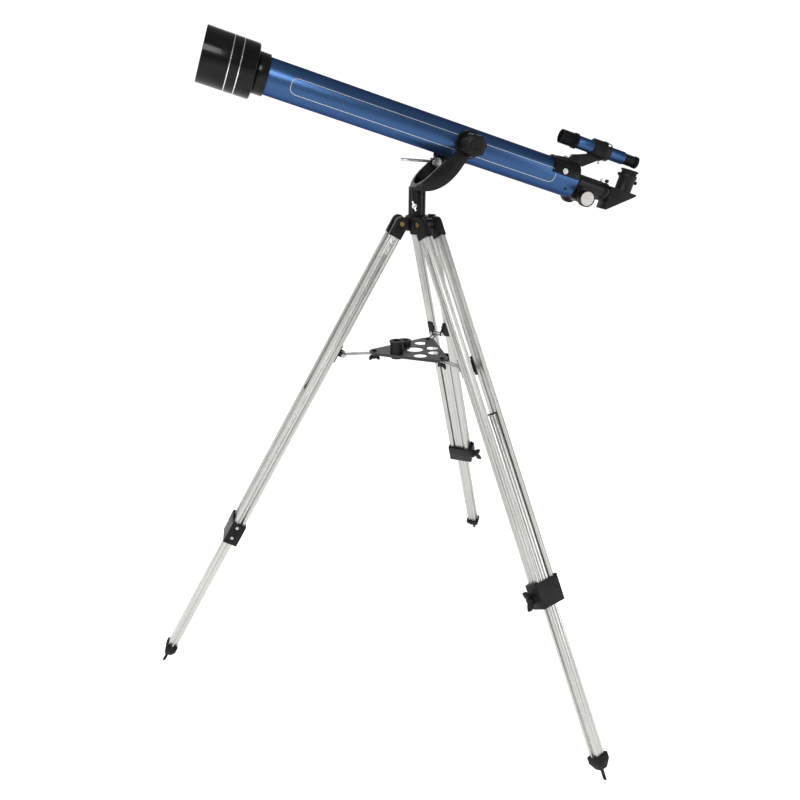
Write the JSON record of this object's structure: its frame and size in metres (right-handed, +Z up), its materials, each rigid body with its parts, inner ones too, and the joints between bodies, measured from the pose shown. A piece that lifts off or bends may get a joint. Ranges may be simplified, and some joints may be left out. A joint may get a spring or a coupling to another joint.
{
  "type": "telescope on tripod",
  "caption": "Refracting telescope with finder, focuser and diagonal in a fork mount on a folding aluminium tripod with a spreader tray.",
  "frame": {"origin": "on the azimuth axis at floor level, between the three feet", "axes": "+Z up along the azimuth axis, -X where the tube points at rest, +X to the eyepiece end, +Y to the altitude rod's side"},
  "size_m": [1.0069, 0.9553, 1.2739],
  "materials": {
    "cast_black": "gloss black paint",
    "brass": "dull",
    "chrome": "bright",
    "aluminium": "satin anodised, drawn lines",
    "plastic_black": "moulded, satin",
    "rivet_steel": "plain",
    "rubber_black": "matt",
    "steel_arm": "zinc plated",
    "tray_grey": "satin charcoal",
    "tube_blue": "metallic blue lacquer",
    "shield_black": "gloss",
    "glass": "coated, clear"
  },
  "bodies": {
    "head": {"hub": "cast_black", "pivot_bolts": "brass"},
    "azimuth_lock": {"azimuth_lock": "chrome"},
    "leg_a": {"leg_a_rails": "aluminium", "leg_a_cap": "plastic_black", "leg_a_rivets": "rivet_steel", "leg_a_clamp": "plastic_black", "leg_a_bracket": "cast_black", "leg_a_bracket_bolt": "rivet_steel"},
    "extension_a": {"leg_a_extension": "aluminium", "leg_a_slider": "plastic_black", "leg_a_foot": "rubber_black"},
    "clamp_screw_a": {"leg_a_clamp_screw": "plastic_black"},
    "arm_a": {"leg_a_arm": "steel_arm"},
    "leg_b": {"leg_b_rails": "aluminium", "leg_b_cap": "plastic_black", "leg_b_rivets": "rivet_steel", "leg_b_clamp": "plastic_black", "leg_b_bracket": "cast_black", "leg_b_bracket_bolt": "rivet_steel"},
    "extension_b": {"leg_b_extension": "aluminium", "leg_b_slider": "plastic_black", "leg_b_foot": "rubber_black"},
    "clamp_screw_b": {"leg_b_clamp_screw": "plastic_black"},
    "arm_b": {"leg_b_arm": "steel_arm"},
    "leg_c": {"leg_c_rails": "aluminium", "leg_c_cap": "plastic_black", "leg_c_rivets": "rivet_steel", "leg_c_clamp": "plastic_black", "leg_c_bracket": "cast_black", "leg_c_bracket_bolt": "rivet_steel"},
    "extension_c": {"leg_c_extension": "aluminium", "leg_c_slider": "plastic_black", "leg_c_foot": "rubber_black"},
    "clamp_screw_c": {"leg_c_clamp_screw": "plastic_black"},
    "arm_c": {"leg_c_arm": "steel_arm"},
    "tray": {"tray": "tray_grey", "tray_bolts": "plastic_black"},
    "spare_tall": {"spare_eyepiece_tall": "plastic_black"},
    "spare_short": {"spare_eyepiece_short": "plastic_black"},
    "yoke": {"yoke": "cast_black"},
    "knob_near": {"altitude_knob_near": "plastic_black"},
    "knob_far": {"altitude_knob_far": "plastic_black"},
    "tube": {"main_tube": "tube_blue", "lens_cell": "shield_black", "objective": "glass", "dew_shield": "shield_black", "trunnions": "cast_black", "focuser": "cast_black", "finder_bracket": "plastic_black", "finder_tube": "tube_blue", "finder_screws": "chrome"},
    "rod_block": {"rod_block": "cast_black"},
    "rod": {"motion_rod": "chrome"},
    "rod_lock": {"rod_lock": "plastic_black"},
    "focus_knob": {"focus_knob": "plastic_black"},
    "drawtube": {"drawtube": "cast_black"},
    "diagonal": {"diagonal": "plastic_black", "eyepiece": "rubber_black"},
    "focus_lock": {"focus_lock": "chrome"}
  },
  "joints": [
    {"name": "azimuth_lock_turn", "type": "hinge", "parent": "head", "child": "azimuth_lock", "pos_m": [0, 0, 0.9722], "axis": [-0.4226, -0.9063, 0], "range_deg": [-180, 180]},
    {"name": "leg_a_fold", "type": "hinge", "parent": "head", "child": "leg_a", "pos_m": [-0.03242, 0.00227, 0.9394], "axis": [-0.0698, -0.9976, 0], "range_deg": [0, 8]},
    {"name": "leg_b_fold", "type": "hinge", "parent": "head", "child": "leg_b", "pos_m": [0.01425, -0.02921, 0.9394], "axis": [0.8988, 0.4384, 0], "range_deg": [0, 8]},
    {"name": "leg_c_fold", "type": "hinge", "parent": "head", "child": "leg_c", "pos_m": [0.01817, 0.02694, 0.9394], "axis": [-0.829, 0.5592, 0], "range_deg": [0, 8]},
    {"name": "extension_a_slide", "type": "slide", "parent": "leg_a", "child": "extension_a", "axis": [0.4806, -0.0336, 0.8763], "range_m": [-0.26, 0.26]},
    {"name": "clamp_screw_a_turn", "type": "hinge", "parent": "leg_a", "child": "clamp_screw_a", "pos_m": [-0.3746, 0.05627, 0.3075], "axis": [-0.0698, -0.9976, 0], "range_deg": [-180, 180]},
    {"name": "arm_a_hinge", "type": "hinge", "parent": "leg_a", "child": "arm_a", "pos_m": [-0.14513, 0.01015, 0.68199], "axis": [-0.0698, -0.9976, 0], "range_deg": [-8, 0]},
    {"name": "extension_b_slide", "type": "slide", "parent": "leg_b", "child": "extension_b", "axis": [-0.2112, 0.433, 0.8763], "range_m": [-0.26, 0.26]},
    {"name": "clamp_screw_b_turn", "type": "hinge", "parent": "leg_b", "child": "clamp_screw_b", "pos_m": [0.13857, -0.35254, 0.3075], "axis": [0.8988, 0.4384, 0], "range_deg": [-180, 180]},
    {"name": "arm_b_hinge", "type": "hinge", "parent": "leg_b", "child": "arm_b", "pos_m": [0.06378, -0.13076, 0.68199], "axis": [0.8988, 0.4384, 0], "range_deg": [-8, 0]},
    {"name": "extension_c_slide", "type": "slide", "parent": "leg_c", "child": "extension_c", "axis": [-0.2694, -0.3994, 0.8763], "range_m": [-0.26, 0.26]},
    {"name": "clamp_screw_c_turn", "type": "hinge", "parent": "leg_c", "child": "clamp_screw_c", "pos_m": [0.23603, 0.29628, 0.3075], "axis": [-0.829, 0.5592, 0], "range_deg": [-180, 180]},
    {"name": "arm_c_hinge", "type": "hinge", "parent": "leg_c", "child": "arm_c", "pos_m": [0.08135, 0.12061, 0.68199], "axis": [-0.829, 0.5592, 0], "range_deg": [-8, 0]},
    {"name": "tray_slide", "type": "slide", "parent": "head", "child": "tray", "axis": [0, 0, 1], "range_m": [-0.01327, 0]},
    {"name": "spare_tall_lift", "type": "slide", "parent": "tray", "child": "spare_tall", "axis": [0, 0, 1], "range_m": [0, 0.04]},
    {"name": "spare_short_lift", "type": "slide", "parent": "tray", "child": "spare_short", "axis": [0, 0, 1], "range_m": [0, 0.04]},
    {"name": "azimuth", "type": "hinge", "parent": "head", "child": "yoke", "pos_m": [0, 0, 1], "axis": [0, 0, 1], "continuous": true},
    {"name": "knob_near_turn", "type": "hinge", "parent": "tube", "child": "knob_near", "pos_m": [0.0873, -0.06, 1.0821], "axis": [0, 1, 0], "range_deg": [-180, 180]},
    {"name": "knob_far_turn", "type": "hinge", "parent": "tube", "child": "knob_far", "pos_m": [0.0873, 0.06, 1.0821], "axis": [0, 1, 0], "range_deg": [-180, 180]},
    {"name": "altitude", "type": "hinge", "parent": "yoke", "child": "tube", "pos_m": [0.0873, 0, 1.0821], "axis": [0, 1, 0], "range_deg": [-15, 30]},
    {"name": "rod_block_swing", "type": "hinge", "parent": "yoke", "child": "rod_block", "pos_m": [0.048, 0.0515, 1.0465], "axis": [0, 1, 0], "range_deg": [-11, 21]},
    {"name": "rod_slide", "type": "slide", "parent": "rod_block", "child": "rod", "axis": [0.9977, 0, -0.0674], "range_m": [-0.022, 0.011]},
    {"name": "rod_lock_turn", "type": "hinge", "parent": "rod_block", "child": "rod_lock", "pos_m": [0.048, 0.0515, 1.0465], "axis": [0.0674, 0, 0.9977], "range_deg": [-180, 180]},
    {"name": "focus_knob_turn", "type": "hinge", "parent": "tube", "child": "focus_knob", "pos_m": [0.32837, 0, 0.98193], "axis": [0, 1, 0], "range_deg": [0, 636.67]},
    {"name": "drawtube_slide", "type": "slide", "parent": "tube", "child": "drawtube", "axis": [0.9542, 0, -0.299], "range_m": [0, 0.05]},
    {"name": "diagonal_turn", "type": "hinge", "parent": "drawtube", "child": "diagonal", "pos_m": [0.39266, 0, 0.98641], "axis": [-0.9542, 0, 0.299], "continuous": true},
    {"name": "focus_lock_turn", "type": "hinge", "parent": "tube", "child": "focus_lock", "pos_m": [0.38064, 0, 1.02161], "axis": [0.299, 0, 0.9542], "range_deg": [-180, 180]}
  ],
  "couplings": [
    {"joint": "leg_b_fold", "follows": "leg_a_fold", "ratio": 1},
    {"joint": "leg_c_fold", "follows": "leg_a_fold", "ratio": 1},
    {"joint": "arm_a_hinge", "follows": "leg_a_fold", "ratio": -1},
    {"joint": "arm_b_hinge", "follows": "leg_a_fold", "ratio": -1},
    {"joint": "arm_c_hinge", "follows": "leg_a_fold", "ratio": -1},
    {"joint": "tray_slide", "follows": "leg_a_fold", "m_per_rad": -0.094675},
    {"joint": "rod_block_swing", "follows": "altitude", "ratio": 0.69},
    {"joint": "rod_slide", "follows": "altitude", "m_per_rad": -0.041253},
    {"joint": "focus_knob_turn", "follows": "drawtube_slide", "rad_per_m": 222.22}
  ]
}
